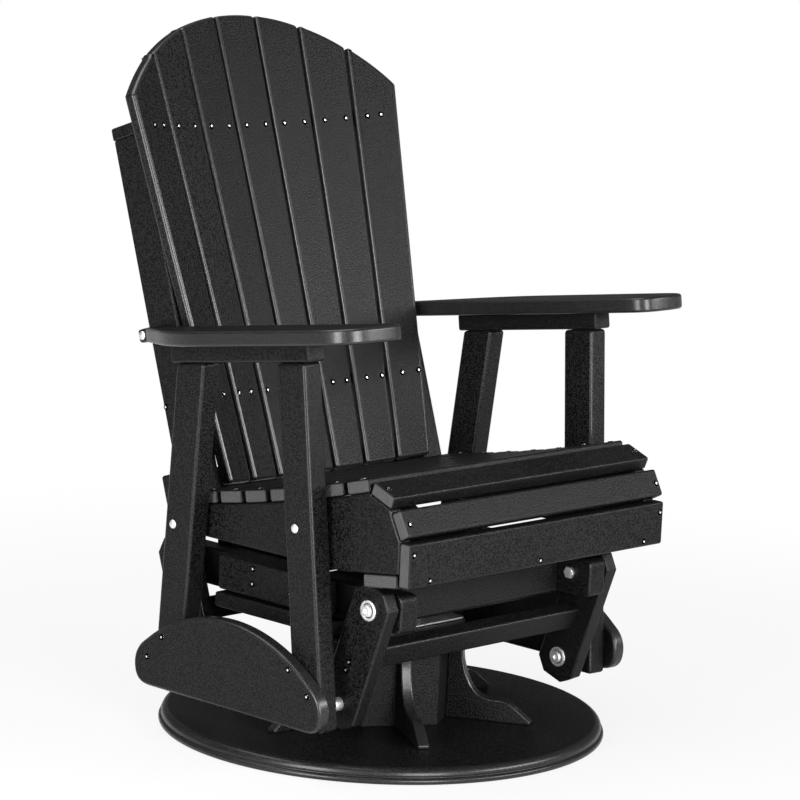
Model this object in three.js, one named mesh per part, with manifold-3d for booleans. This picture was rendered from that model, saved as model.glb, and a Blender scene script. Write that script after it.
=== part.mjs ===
// Swivel glider armchair with a fan back, made of plain square-cut boards on a round base.
// Millimetres. The origin is on the floor under the middle of the round base. +Z is up and
// the sitter faces -Y, so the sitter's right side is at -X and the left side at +X.

import * as THREE from "three";
import { mergeVertices } from "three/addons/utils/BufferGeometryUtils.js";
import Module from "manifold-3d";

const wasm = await Module();
wasm.setup();

// Stock and clearances
const fit = 0.3; // gap left between two pieces that touch
const edge = 5; // rounding along the faces of a board
const fineEdge = 3; // the same on boards with tight inner curves
const slatThick = 22;
const lightThick = 25;
const heavyThick = 38;
const narrowWidth = 63.5;
const overrun = 1; // how far a joined solid reaches into its neighbour

// Round base and its pedestal
const discRadius = 376;
const discThick = 26;
const discStep = 5; // the upper half of the rim is set back by this
const discBand = 12; // height of the lower half of the rim
const discRound = 9; // rounding of the upper rim
const columnRadius = 130; // to the corners of the hexagon
const columnHeight = 138;
const gussetThick = 19;
const gussetReach = 258; // from the axis to the tip
const gussetTop = 138; // from the axis to the upper end
const gussetTip = 6; // height of the tip
const gussetHeelReach = 217; // from the axis to where the shoulder turns down to the tip
const gussetShoulder = 38; // height of the shoulder
const gussetElbow = 190; // from the axis to where the shoulder starts to sweep up
const gussetSweep = 150; // from the axis to where that sweep is steepest
const gussetNeck = 106; // height where the upright part starts
const pedestalTopHalf = 96;
const pedestalTopThick = 24;

// Steel swivel
const plateHalf = 95;
const plateThick = 3;
const plateHole = 45;
const raceInner = 56;
const raceOuter = 68;
const swivelHeight = 26;

// Turntable frame that carries the swing arms
const platformHalfWidth = 270;
const platformHalfDepth = 134;
const railOuter = 245; // from the middle plane to the outer face of a rail
const railHalfLength = 270;
const railNose = 14; // corner rounding at the ends of a rail
const beamSetback = 70; // from the end of a rail to the face of the cross beam
const rearBeamTall = 84;
const sidePlateHalf = 126;
const sidePlateTall = 58;
const sidePlateLift = 6;

// Swing arms
const armSpan = 172.4; // from the upper pivot to the lower one
const armLean = 19; // degrees from the vertical with the seat at rest
const upperPivotY = 226;
const upperPivotLift = 37; // above the underside of the rail
const armInner = 250; // from the middle plane to the inner face of an arm
const armWidth = 82;
const armEndLength = 40; // from a pivot to the end of the board
const armClip = 21; // corner clipped from each end
const pinRadius = 5;
const pinHole = 5.5;
const openPinHole = 9; // the rear lower holes, which have play
const pinHeadRadius = 11;
const pinHeadTall = 7;
const stretcherDeep = 28;
const stretcherTall = 38;
const stretcherDrop = 89; // from the upper pivot, along the arm

// Seat frame
const seatHalf = 305; // from the middle plane to the outer face of a seat side
const legFootZ = 80;
const legFootY = 199.5; // from the middle to the outer edge of a leg at its foot
const legLean = 5.2; // degrees, towards the middle at the top
const legSplay = 1.8; // degrees, outwards at the top
const legInner = 303; // from the middle plane to the inner face of a leg at its foot
const skirtHalf = 220;
const skirtFootZ = 84.5;
const skirtTall = 146.5;
const skirtArch = 309; // radius of its top
const skirtTopReach = 204; // from the middle to where the top turns down into the end
const skirtCorner = 34;

// Seat surface, seen from the side
const seatRearY = 142; // rear edge of the first slat
const seatRearZ = 412.5;
const seatRearAngle = 9; // degrees of rise towards the front
const seatFrontAngle = 15.5;
const seatSlatWidth = 50.5;
const rearSlatWidth = 40;
const seatSlatGap = 8.4;
const flatSlats = 7;
const noseTopY = -279; // middle of the top face of the first slat of the nose
const noseTopZ = 484;
const noseTopAngle = 21; // degrees, falling to the front
const noseTopWidth = 50;
const noseFrontY = -326; // the same for the second one
const noseFrontZ = 438.5;
const noseFrontAngle = 62;
const noseFrontWidth = 46;
const apronFrontY = -339;
const apronBottomZ = 335;
const apronTall = 72;
const sideRearY = 196;
const sideRearZ = 338; // underside of the seat side
const sideRiseY = -190; // where its underside starts to rise
const sideFrontZ = 355;
const underBoardWidth = 74;

// Arms
const armrestTopZ = 703.5; // top face above the middle of the chair
const armrestRise = 8.2; // degrees, rising to the front
const armrestInner = 280;
const armrestOuter = 414;
const armrestFrontY = -298;
const armrestTaperY = 116;
const armrestRearY = 290;
const armrestRearWidth = 24;
const innerCornerShare = 0.32; // radius of a front corner over the width of the board
const outerCornerShare = 0.55;
const cleatTall = 29;
const cleatFrontY = -150;
const cleatRearY = 171.5;

// Back
const backFootY = 169.5; // front face of the middle slat, at the foot of the back
const backFootZ = 421.5;
const backRecline = 18.7; // degrees from the vertical
const backBow = 930; // radius of the hollow that the slats make
const backSlats = 7;
const backFootGap = 6; // between two slats at the foot of the back
const backHeadGap = 4;
const backFootPitch = 69.3;
const backHeadPitch = 91.6;
const backPitchSpan = 741; // from the foot to where the head's pitch and gap are measured
const backLength = 785; // of the middle slat, above the foot line
const backFootDrop = 15; // how far the slats run below the foot line
const archRadius = 402;
const supportUp = 595; // from the foot to the upper row of screws
const supportLow = 139;
const supportRear = 58; // behind the front face of the middle slat
const stileOuter = 279.7;
const stileRear = 54;
const stileFoot = 64; // how far a stile runs below the foot of the slats
const armBarUp = 257;
const armBarDeep = 28;
const armBarOverhang = 4; // beyond the stiles at each end
const footBarUp = -10;

// Finishes
const board = { color: 0x141415, roughness: 0.55, metalness: 0 };
const steel = { color: 0xb9bbbd, roughness: 0.32, metalness: 1 };

const model = new THREE.Group();
const rad = THREE.MathUtils.degToRad;
const sides = [["right", -1], ["left", 1]];
const ends = [["front", -1], ["rear", 1]];

// Helpers

function addPiece(parent, name, geometry, finish = board) {
  const piece = new THREE.Mesh(geometry, new THREE.MeshStandardMaterial(finish));
  piece.name = name;
  parent.add(piece);
  return piece;
}

// Closed outline through corners [x, y, radius], each rounded by its radius.
function outline(corners) {
  const shape = new THREE.Shape();
  corners.forEach(([x, y, radius = 0], i) => {
    const before = corners[(i + corners.length - 1) % corners.length];
    const after = corners[(i + 1) % corners.length];
    const here = new THREE.Vector2(x, y);
    const a = new THREE.Vector2(before[0], before[1]).sub(here).setLength(radius).add(here);
    const b = new THREE.Vector2(after[0], after[1]).sub(here).setLength(radius).add(here);
    if (i === 0) shape.moveTo(a.x, a.y);
    else shape.lineTo(a.x, a.y);
    if (radius > 0) shape.quadraticCurveTo(x, y, b.x, b.y);
  });
  shape.closePath();
  return shape;
}

function rectangle(width, height, radius = 0) {
  const x = width / 2;
  const y = height / 2;
  return outline([[-x, -y, radius], [x, -y, radius], [x, y, radius], [-x, y, radius]]);
}

// Board of the given thickness round the outline, its faces at plus and minus half of it.
function cutBoard(shape, thickness, round = edge) {
  const solid = new THREE.ExtrudeGeometry(shape, {
    depth: thickness - 2 * round,
    bevelEnabled: round > 0,
    bevelThickness: round,
    bevelSize: round,
    bevelOffset: -round,
    bevelSegments: 2,
    curveSegments: 6,
  });
  return solid.translate(0, 0, round - thickness / 2);
}

// Turned solid from a profile of [radius, height] points.
function turned(profile, steps) {
  const points = profile.map(([radius, height]) => new THREE.Vector2(radius, height));
  return new THREE.LatheGeometry(points, steps).rotateX(Math.PI / 2);
}

function toManifold(geometry) {
  const bare = geometry.clone();
  bare.deleteAttribute("normal");
  bare.deleteAttribute("uv");
  const merged = mergeVertices(bare);
  return new wasm.Manifold(new wasm.Mesh({
    numProp: 3,
    vertProperties: new Float32Array(merged.attributes.position.array),
    triVerts: new Uint32Array(merged.index.array),
  }));
}

function toGeometry(solid) {
  const mesh = solid.getMesh();
  const geometry = new THREE.BufferGeometry();
  geometry.setAttribute("position", new THREE.BufferAttribute(mesh.vertProperties, mesh.numProp));
  geometry.setIndex(new THREE.BufferAttribute(mesh.triVerts, 1));
  geometry.computeVertexNormals();
  return geometry;
}

function join(...geometries) {
  return toGeometry(geometries.map(toManifold).reduce((whole, next) => whole.add(next)));
}

// Cylinder along X between two places, centred on the point (y, z).
function crossPin(radius, fromX, toX, y, z) {
  const pin = new THREE.CylinderGeometry(radius, radius, Math.abs(toX - fromX), 16);
  return pin.rotateZ(Math.PI / 2).translate((fromX + toX) / 2, y, z);
}

// Geometry drawn in (Y, Z) and extruded along X, moved to its place on one side.
function standOnSide(geometry, x) {
  const turn = new THREE.Matrix4().makeBasis(
    new THREE.Vector3(0, 1, 0), new THREE.Vector3(0, 0, 1), new THREE.Vector3(1, 0, 0));
  return geometry.applyMatrix4(turn).translate(x, 0, 0);
}

// Round base

const baseTop = discThick + fit;

function baseDisc() {
  const innerRim = discRadius - discStep;
  const profile = [[0, 0], [discRadius - edge, 0], [discRadius, edge], [discRadius, discBand - edge]];
  profile.push([discRadius - edge / 2, discBand - edge / 2], [innerRim, discBand]);
  const roundSteps = 4;
  for (let i = 0; i <= roundSteps; i += 1) {
    const turn = rad(90) * i / roundSteps;
    const r = innerRim - discRound + discRound * Math.cos(turn);
    profile.push([r, discThick - discRound + discRound * Math.sin(turn)]);
  }
  profile.push([0, discThick]);
  return turned(profile, 72);
}
addPiece(model, "base_disc", baseDisc());

function hexagon(cornerRadius, path) {
  for (let i = 0; i < 6; i += 1) {
    const turn = rad(30 + 60 * i);
    const x = cornerRadius * Math.cos(turn);
    const y = cornerRadius * Math.sin(turn);
    if (i === 0) path.moveTo(x, y);
    else path.lineTo(x, y);
  }
  path.closePath();
  return path;
}

const column = hexagon(columnRadius, new THREE.Shape());
column.holes.push(hexagon(columnRadius - lightThick / Math.cos(rad(30)), new THREE.Path()));
addPiece(model, "pedestal_column", cutBoard(column, columnHeight, 0))
  .position.z = baseTop + columnHeight / 2;

const columnFace = columnRadius * Math.cos(rad(30)) + fit;

function gussetShape() {
  const shape = new THREE.Shape();
  const slope = (gussetShoulder - gussetTip) / (gussetReach - gussetHeelReach);
  const turn = (gussetHeelReach - gussetElbow) / 2;
  shape.moveTo(columnFace, 0);
  shape.lineTo(gussetReach, 0);
  shape.lineTo(gussetReach, gussetTip);
  shape.lineTo(gussetHeelReach + turn, gussetShoulder - slope * turn);
  shape.quadraticCurveTo(gussetHeelReach, gussetShoulder, gussetHeelReach - turn, gussetShoulder);
  shape.lineTo(gussetElbow, gussetShoulder);
  shape.quadraticCurveTo(gussetSweep, gussetShoulder, gussetTop, gussetNeck);
  shape.lineTo(gussetTop, columnHeight);
  shape.lineTo(columnFace, columnHeight);
  shape.closePath();
  return shape;
}
for (let i = 0; i < 6; i += 1) {
  const gusset = addPiece(model, `gusset_${i + 1}`, cutBoard(gussetShape(), gussetThick, fineEdge));
  const turn = rad(60 * i);
  gusset.quaternion.setFromRotationMatrix(new THREE.Matrix4().makeBasis(
    new THREE.Vector3(Math.cos(turn), Math.sin(turn), 0), new THREE.Vector3(0, 0, 1),
    new THREE.Vector3(Math.sin(turn), -Math.cos(turn), 0)));
  gusset.position.z = baseTop;
}

const pedestalTopZ = baseTop + columnHeight + fit;
const pedestalTop = rectangle(2 * pedestalTopHalf, 2 * pedestalTopHalf);
addPiece(model, "pedestal_top", cutBoard(pedestalTop, pedestalTopThick))
  .position.z = pedestalTopZ + pedestalTopThick / 2;

// Steel swivel: two square plates, each with half of the ball race pressed into it

const swivelZ = pedestalTopZ + pedestalTopThick + fit;

function swivelPlate(side) {
  const square = rectangle(2 * plateHalf, 2 * plateHalf);
  square.holes.push(new THREE.Path().absarc(0, 0, plateHole, 0, 2 * Math.PI));
  const plate = cutBoard(square, plateThick, 0).translate(0, 0, side * (swivelHeight - plateThick) / 2);
  const ring = new THREE.Shape().absarc(0, 0, raceOuter, 0, 2 * Math.PI);
  ring.holes.push(new THREE.Path().absarc(0, 0, raceInner, 0, 2 * Math.PI));
  const raceTall = swivelHeight / 2 - fit / 2 - plateThick + overrun;
  const race = cutBoard(ring, raceTall, 0).translate(0, 0, side * (fit + raceTall) / 2);
  return join(plate, race);
}
addPiece(model, "swivel_lower_plate", swivelPlate(-1), steel).position.z = swivelZ + swivelHeight / 2;
addPiece(model, "swivel_upper_plate", swivelPlate(1), steel).position.z = swivelZ + swivelHeight / 2;

// Turntable frame

const platformZ = swivelZ + swivelHeight + fit;
const platform = rectangle(2 * platformHalfWidth, 2 * platformHalfDepth);
addPiece(model, "turntable_platform", cutBoard(platform, lightThick))
  .position.z = platformZ + lightThick / 2;

const railZ = platformZ + lightThick + fit;
const railInner = railOuter - heavyThick;
const upperPivotZ = railZ + upperPivotLift;
const lean = rad(armLean);
const lowerPivotY = upperPivotY - armSpan * Math.sin(lean);
const lowerPivotZ = upperPivotZ - armSpan * Math.cos(lean);

// Rail with its two upper pivot bolts: collar, shank through the swing arm, head and inner nut.
function railWithBolts(side) {
  const rail = cutBoard(rectangle(2 * railHalfLength, narrowWidth, railNose), heavyThick);
  rail.translate(0, railZ + narrowWidth / 2, 0);
  const solids = [standOnSide(rail, side * (railOuter - heavyThick / 2))];
  ends.forEach(([, along]) => {
    const y = along * upperPivotY;
    const headX = armInner + lightThick + fit;
    const place = (radius, from, to) => crossPin(radius, side * from, side * to, y, upperPivotZ);
    solids.push(place(pinHeadRadius, railOuter - overrun, armInner - fit));
    solids.push(place(pinRadius, railInner, headX + overrun));
    solids.push(place(pinHeadRadius, headX, headX + pinHeadTall));
    solids.push(place(pinHeadRadius, railInner + overrun, railInner - pinHeadTall));
  });
  return join(...solids);
}
sides.forEach(([name, side]) => {
  addPiece(model, `rail_${name}`, railWithBolts(side));
  const plate = cutBoard(rectangle(2 * sidePlateHalf, sidePlateTall), lightThick);
  plate.translate(0, railZ + sidePlateLift + sidePlateTall / 2, 0);
  const plateX = side * (railOuter + fit + lightThick / 2);
  addPiece(model, `side_plate_${name}`, standOnSide(plate, plateX));
});

ends.forEach(([name, along]) => {
  const tall = along < 0 ? narrowWidth : rearBeamTall;
  const beam = cutBoard(rectangle(2 * (railInner - fit), tall), heavyThick);
  const piece = addPiece(model, `cross_beam_${name}`, beam.rotateX(Math.PI / 2));
  const beamY = railHalfLength - beamSetback - heavyThick / 2;
  piece.position.set(0, along * beamY, railZ + narrowWidth / 2);
});

// Swing arms, with the stretcher that ties each pair

function swingArm(along) {
  const half = armWidth / 2;
  const top = armEndLength;
  const bottom = -armSpan - armEndLength;
  const shape = outline([
    [-half, top - armClip], [-half, bottom + armClip], [-half + armClip, bottom],
    [half - armClip, bottom], [half, bottom + armClip], [half, top - armClip],
    [half - armClip, top], [-half + armClip, top],
  ]);
  const lowerHole = along < 0 ? pinHole : openPinHole;
  shape.holes.push(new THREE.Path().absarc(0, 0, pinHole, 0, 2 * Math.PI));
  shape.holes.push(new THREE.Path().absarc(0, -armSpan, lowerHole, 0, 2 * Math.PI));
  return shape;
}
ends.forEach(([end, along]) => {
  const pair = new THREE.Group();
  pair.position.set(0, along * upperPivotY, upperPivotZ);
  pair.rotation.x = -along * lean;
  model.add(pair);
  sides.forEach(([side, sign]) => {
    const arm = standOnSide(cutBoard(swingArm(along), lightThick), sign * (armInner + lightThick / 2));
    addPiece(pair, `swing_arm_${end}_${side}`, arm);
  });
  const bar = cutBoard(rectangle(2 * (armInner - fit), stretcherTall), stretcherDeep);
  const stretcher = addPiece(pair, `stretcher_${end}`, bar.rotateX(Math.PI / 2));
  stretcher.position.set(0, 0, -stretcherDrop);
});

// Legs with their lower pivot bolts, and the skirts outside them

const rise = Math.tan(rad(armrestRise));
const legTopDrop = (lightThick + fit + cleatTall + 2 * fit) / Math.cos(rad(armrestRise));
const legTopZ = armrestTopZ - legTopDrop;
const legTilt = Math.tan(rad(legLean));
const legAcross = narrowWidth / Math.cos(rad(legLean));

// Corner where a leg edge, outset from the middle by footY at the foot, meets the cleat.
function legHead(along, footY) {
  const start = along * (footY + legFootZ * legTilt);
  const z = (legTopZ - rise * start) / (1 - rise * along * legTilt);
  return [start - along * legTilt * z, z];
}

const legX = legInner + heavyThick / 2;

// Leans a solid of one side outwards, turning it about its foot.
function splay(geometry, side) {
  const foot = new THREE.Matrix4().makeTranslation(side * legX, 0, legFootZ);
  const turn = new THREE.Matrix4().makeRotationY(side * rad(legSplay));
  const move = foot.clone().multiply(turn).multiply(foot.clone().invert());
  return geometry.applyMatrix4(move);
}

function legWithBolt(side, along) {
  const outer = legFootY;
  const inner = legFootY - legAcross;
  const corners = [[along * outer, legFootZ], [along * inner, legFootZ]];
  corners.push(legHead(along, inner), legHead(along, outer));
  const leg = splay(standOnSide(cutBoard(outline(corners), heavyThick), side * legX), side);
  const armOuter = armInner + lightThick;
  const place = (radius, from, to) =>
    crossPin(radius, side * from, side * to, along * lowerPivotY, lowerPivotZ);
  return join(
    leg,
    place(pinHeadRadius, armOuter + fit, legInner + heavyThick / 2),
    place(pinRadius, armInner - fit - overrun, armOuter + overrun),
    place(pinHeadRadius, armInner - fit, armInner - fit - pinHeadTall),
  );
}
sides.forEach(([side, sign]) => {
  ends.forEach(([end, along]) => addPiece(model, `leg_${end}_${side}`, legWithBolt(sign, along)));
});

function skirtShape() {
  const topZ = skirtFootZ + skirtTall;
  const archZ = (y) => topZ - skirtArch + Math.sqrt(skirtArch ** 2 - y ** 2);
  const shape = new THREE.Shape();
  shape.moveTo(-skirtHalf + skirtCorner, skirtFootZ);
  shape.lineTo(skirtHalf - skirtCorner, skirtFootZ);
  shape.quadraticCurveTo(skirtHalf, skirtFootZ, skirtHalf, skirtFootZ + skirtCorner);
  shape.quadraticCurveTo(skirtHalf, archZ(skirtHalf), skirtTopReach, archZ(skirtTopReach));
  const archSteps = 12;
  for (let i = 1; i < archSteps; i += 1) {
    const y = skirtTopReach * (1 - 2 * i / archSteps);
    shape.lineTo(y, archZ(y));
  }
  shape.lineTo(-skirtTopReach, archZ(skirtTopReach));
  shape.quadraticCurveTo(-skirtHalf, archZ(skirtHalf), -skirtHalf, skirtFootZ + skirtCorner);
  shape.quadraticCurveTo(-skirtHalf, skirtFootZ, -skirtHalf + skirtCorner, skirtFootZ);
  return shape;
}
sides.forEach(([side, sign]) => {
  const skirtX = legX + heavyThick / 2 + fit + lightThick / 2;
  const skirt = standOnSide(cutBoard(skirtShape(), lightThick), sign * skirtX);
  addPiece(model, `skirt_${side}`, splay(skirt, sign));
});

// Seat slats. The flat ones follow an arc that rises more steeply towards the front.

const flatRun = rearSlatWidth + (flatSlats - 1) * (seatSlatWidth + seatSlatGap);
const seatBend = rad(seatFrontAngle - seatRearAngle) / flatRun;

// Point on the top of the seat and the rise there, a distance from the rear edge.
function seatPoint(run) {
  const angle = rad(seatRearAngle) + seatBend * run;
  const y = seatRearY - (Math.sin(angle) - Math.sin(rad(seatRearAngle))) / seatBend;
  const z = seatRearZ + (Math.cos(rad(seatRearAngle)) - Math.cos(angle)) / seatBend;
  return { y, z, angle };
}

// Slat across the seat: the middle of its top face is at (y, z), and it rises to the front.
function addSlat(name, width, thick, y, z, angle) {
  const slat = addPiece(model, name, cutBoard(rectangle(2 * seatHalf, width), thick));
  slat.rotation.x = -angle;
  slat.position.set(0, y - thick / 2 * Math.sin(angle), z - thick / 2 * Math.cos(angle));
}
for (let i = 0; i < flatSlats; i += 1) {
  const width = i === 0 ? rearSlatWidth : seatSlatWidth;
  const start = i === 0 ? 0 : rearSlatWidth + seatSlatGap + (i - 1) * (seatSlatWidth + seatSlatGap);
  const { y, z, angle } = seatPoint(start + width / 2);
  addSlat(`seat_slat_${i + 1}`, width, slatThick, y, z, angle);
}
const noseSlats = [
  { name: "seat_slat_8", y: noseTopY, z: noseTopZ, drop: noseTopAngle, width: noseTopWidth },
  { name: "seat_slat_9", y: noseFrontY, z: noseFrontZ, drop: noseFrontAngle, width: noseFrontWidth },
];
noseSlats.forEach(({ name, y, z, drop, width }) => {
  addSlat(name, width, slatThick, y, z, -rad(drop));
});
addSlat("apron", apronTall, slatThick, apronFrontY, apronBottomZ + apronTall / 2, -rad(90));

// Seat sides: the top follows the undersides of the slats, the front ends behind the apron

function underSlat(y, z, angle, clear) {
  return [y - clear * Math.sin(angle), z - clear * Math.cos(angle)];
}

function seatSideShape() {
  const clear = slatThick + fit;
  const corners = [[sideRearY, sideRearZ], [sideRearY, seatRearZ - clear - edge]];
  const topSteps = 5;
  for (let i = 0; i <= topSteps; i += 1) {
    const { y, z, angle } = seatPoint(flatRun * i / topSteps);
    corners.push(underSlat(y, z, angle, clear + fit));
  }
  noseSlats.forEach(({ y, z, drop, width }) => {
    const angle = -rad(drop);
    const [cy, cz] = underSlat(y, z, angle, clear + 2 * fit);
    const reach = width / 2 - fit;
    corners.push([cy + reach * Math.cos(angle), cz - reach * Math.sin(angle)]);
    corners.push([cy - reach * Math.cos(angle), cz + reach * Math.sin(angle)]);
  });
  const frontY = apronFrontY + slatThick + fit;
  corners.push([frontY, apronBottomZ + apronTall], [frontY, sideFrontZ], [sideRiseY, sideRearZ]);
  return outline(corners.reverse());
}
sides.forEach(([side, sign]) => {
  const seatSide = cutBoard(seatSideShape(), lightThick, fineEdge);
  addPiece(model, `seat_side_${side}`, standOnSide(seatSide, sign * (seatHalf - lightThick / 2)));
});

// Cross board under the front of the seat sides, in line with their rising underside
const underRise = Math.atan2(sideFrontZ - sideRearZ, sideRiseY - (apronFrontY + slatThick + fit));
const underY = apronFrontY + slatThick + edge + underBoardWidth / 2 * Math.cos(underRise);
const underZ = sideFrontZ - (underY - (apronFrontY + slatThick + fit)) * Math.tan(underRise) - fit;
addSlat("seat_cross_board", underBoardWidth, slatThick, underY, underZ - fit, underRise);

// Arm boards on their cleats, all in a frame that rises to the front

const armrests = new THREE.Group();
armrests.position.z = armrestTopZ;
armrests.rotation.x = -rad(armrestRise);
model.add(armrests);

const cleatX = legX + (legTopZ - legFootZ) * Math.tan(rad(legSplay));

function armrestShape(side) {
  const width = armrestOuter - armrestInner;
  const corners = [
    [armrestInner, armrestRearY], [armrestInner, armrestFrontY, innerCornerShare * width],
    [armrestOuter, armrestFrontY, outerCornerShare * width],
    [armrestOuter, armrestTaperY, outerCornerShare * width],
    [armrestInner + armrestRearWidth, armrestRearY],
  ];
  return outline(corners.map(([x, y, radius]) => [side * x, y, radius]));
}
sides.forEach(([name, side]) => {
  addPiece(armrests, `armrest_${name}`, cutBoard(armrestShape(side), lightThick))
    .position.z = -lightThick / 2;
  const cleat = cutBoard(rectangle(heavyThick, cleatRearY - cleatFrontY), cleatTall);
  addPiece(armrests, `armrest_cleat_${name}`, cleat)
    .position.set(side * cleatX, (cleatRearY + cleatFrontY) / 2, -lightThick - fit - cleatTall / 2);
});

// Back, in a frame of its own: x across, y up along the recline, z towards the sitter

const back = new THREE.Group();
back.position.set(0, backFootY, backFootZ);
back.rotation.x = Math.PI / 2 - rad(backRecline);
model.add(back);

const pitchRate = (backHeadPitch - backFootPitch) / backPitchSpan;
const pitchAt = (up) => backFootPitch + pitchRate * up;
const gapAt = (up) => backFootGap + (backHeadGap - backFootGap) * up / backPitchSpan;
const archCentre = backLength - archRadius;

// Slat number counted from the middle: the middle of its face, and how it is turned.
function slatPlane(number) {
  const centre = number * pitchAt(backLength / 2);
  const angle = Math.asin(centre / backBow);
  return { centre, angle, depth: backBow * (1 - Math.cos(angle)) };
}

// Rear face of a slat at a place across the back.
function rearOfSlat(number, across) {
  const { centre, angle, depth } = slatPlane(number);
  return depth + Math.tan(angle) * (across - centre) - slatThick / Math.cos(angle);
}

function backSlatShape(number) {
  const { centre, angle } = slatPlane(number);
  const flat = (across) => (across - centre) / Math.cos(angle);
  const left = (up) => (number - 1 / 2) * pitchAt(up) + gapAt(up) / 2;
  const right = (up) => (number + 1 / 2) * pitchAt(up) - gapAt(up) / 2;
  const archAt = (across) => archCentre + Math.sqrt(archRadius ** 2 - across ** 2);
  const headOf = (side) => {
    let up = backLength;
    for (let i = 0; i < 12; i += 1) up = archAt(side(up));
    return up;
  };
  const shape = new THREE.Shape();
  const leftHead = headOf(left);
  const rightHead = headOf(right);
  shape.moveTo(flat(left(-backFootDrop)), -backFootDrop);
  shape.lineTo(flat(right(-backFootDrop)), -backFootDrop);
  const archSteps = 8;
  for (let i = 0; i <= archSteps; i += 1) {
    const across = right(rightHead) + (left(leftHead) - right(rightHead)) * i / archSteps;
    shape.lineTo(flat(across), archAt(across));
  }
  shape.closePath();
  return shape;
}
const middle = (backSlats - 1) / 2;
for (let i = 0; i < backSlats; i += 1) {
  const { centre, angle, depth } = slatPlane(i - middle);
  const slat = addPiece(back, `back_slat_${i + 1}`, cutBoard(backSlatShape(i - middle), slatThick));
  slat.rotation.y = -angle;
  slat.position.set(centre + slatThick / 2 * Math.sin(angle), 0, depth - slatThick / 2 * Math.cos(angle));
}

// Support across the rear of the slats, hollowed to follow them.
function supportShape(up, half) {
  const corners = [[half, -supportRear], [-half, -supportRear]];
  for (let i = -middle; i <= middle; i += 1) {
    [i - 1 / 2, i + 1 / 2].forEach((share) => {
      const across = Math.max(-half, Math.min(half, share * pitchAt(up)));
      corners.push([across, rearOfSlat(i, across) - 3 * fit]);
    });
  }
  return outline(corners.reverse());
}
const upperSupport = cutBoard(supportShape(supportUp, stileOuter + fit), slatThick);
addPiece(back, "back_support_upper", upperSupport.rotateX(Math.PI / 2)).position.y = supportUp;
const lowerSupport = cutBoard(supportShape(supportLow, stileOuter - heavyThick - fit), slatThick);
addPiece(back, "back_support_lower", lowerSupport.rotateX(Math.PI / 2)).position.y = supportLow;

// Stiles behind the outer slats, from the upper support down to the seat sides
const stileTop = supportUp - slatThick / 2 - fit;
sides.forEach(([name, side]) => {
  const inner = stileOuter - heavyThick;
  const corners = [
    [side * inner, -stileRear], [side * stileOuter, -stileRear],
    [side * stileOuter, rearOfSlat(middle, stileOuter) - 2 * fit],
    [side * inner, rearOfSlat(middle, inner) - 2 * fit],
  ];
  const stile = cutBoard(outline(corners), stileTop + stileFoot, 0).rotateX(Math.PI / 2);
  addPiece(back, `back_stile_${name}`, stile).position.y = (stileTop - stileFoot) / 2;
});

// Bar across the rear of the stiles, level with the arms
const armBar = cutBoard(rectangle(2 * (stileOuter + armBarOverhang), slatThick), armBarDeep);
addPiece(back, "arm_bar", armBar).position.set(0, armBarUp, -stileRear - fit - armBarDeep / 2);

// Bar that joins the feet of the stiles behind the seat
const footBar = cutBoard(rectangle(2 * stileOuter, narrowWidth), heavyThick);
addPiece(back, "foot_bar", footBar).position.set(0, footBarUp, -stileRear - fit - heavyThick / 2);

export default model;
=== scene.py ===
# %% [markdown]
# A swivel glider armchair with a fan back, built of black moulded lumber on a round base.
# Every board of the real chair is sawn from a flat extruded plank and has its edges rounded
# with a cutter, so almost the whole chair can be made by one idea: read the outline of each
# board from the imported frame, round its corners, and carry a quarter-round edge along it.
# Lengths are metres, +Z is up and the sitter faces -Y.

import bpy
import numpy as np
from mathutils import Matrix, Vector
from mathutils.geometry import tessellate_polygon


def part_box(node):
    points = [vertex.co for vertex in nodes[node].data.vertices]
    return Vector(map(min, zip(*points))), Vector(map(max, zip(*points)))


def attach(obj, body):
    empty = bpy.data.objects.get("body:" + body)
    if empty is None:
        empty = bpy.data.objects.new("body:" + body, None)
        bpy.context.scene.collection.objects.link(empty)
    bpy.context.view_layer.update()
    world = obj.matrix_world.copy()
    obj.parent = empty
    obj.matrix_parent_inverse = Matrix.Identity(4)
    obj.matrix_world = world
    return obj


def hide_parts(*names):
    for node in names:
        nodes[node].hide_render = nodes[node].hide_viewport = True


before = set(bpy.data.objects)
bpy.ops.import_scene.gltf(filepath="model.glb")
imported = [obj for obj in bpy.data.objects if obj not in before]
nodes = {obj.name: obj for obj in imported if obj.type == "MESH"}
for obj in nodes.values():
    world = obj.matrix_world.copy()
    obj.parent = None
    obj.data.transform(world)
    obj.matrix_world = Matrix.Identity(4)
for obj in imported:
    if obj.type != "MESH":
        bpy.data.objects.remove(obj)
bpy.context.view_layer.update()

MM = 0.001
draws = np.random.default_rng(7)

# %% [markdown]
# Finishes are written as sums and products of noise. A wrapped socket can be added and
# multiplied like a number, and each operation leaves one Math node behind. That keeps a
# formula such as 0.45 + 0.1 * mottle readable in one line, where the node editor would
# need a dozen clicks and the reader would have to follow the wires.


# %% Sockets that add and multiply
class Field:
    """A number that varies over the surface: a wrapped socket that adds and multiplies."""

    def __init__(self, wiring, socket):
        self.wiring, self.socket = wiring, socket

    def with_other(self, operation, other):
        return self.wiring.math(operation, self, other)

    def __add__(self, other):
        return self.with_other("ADD", other)

    def __mul__(self, other):
        return self.with_other("MULTIPLY", other)

    __radd__ = __add__
    __rmul__ = __mul__


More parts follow.
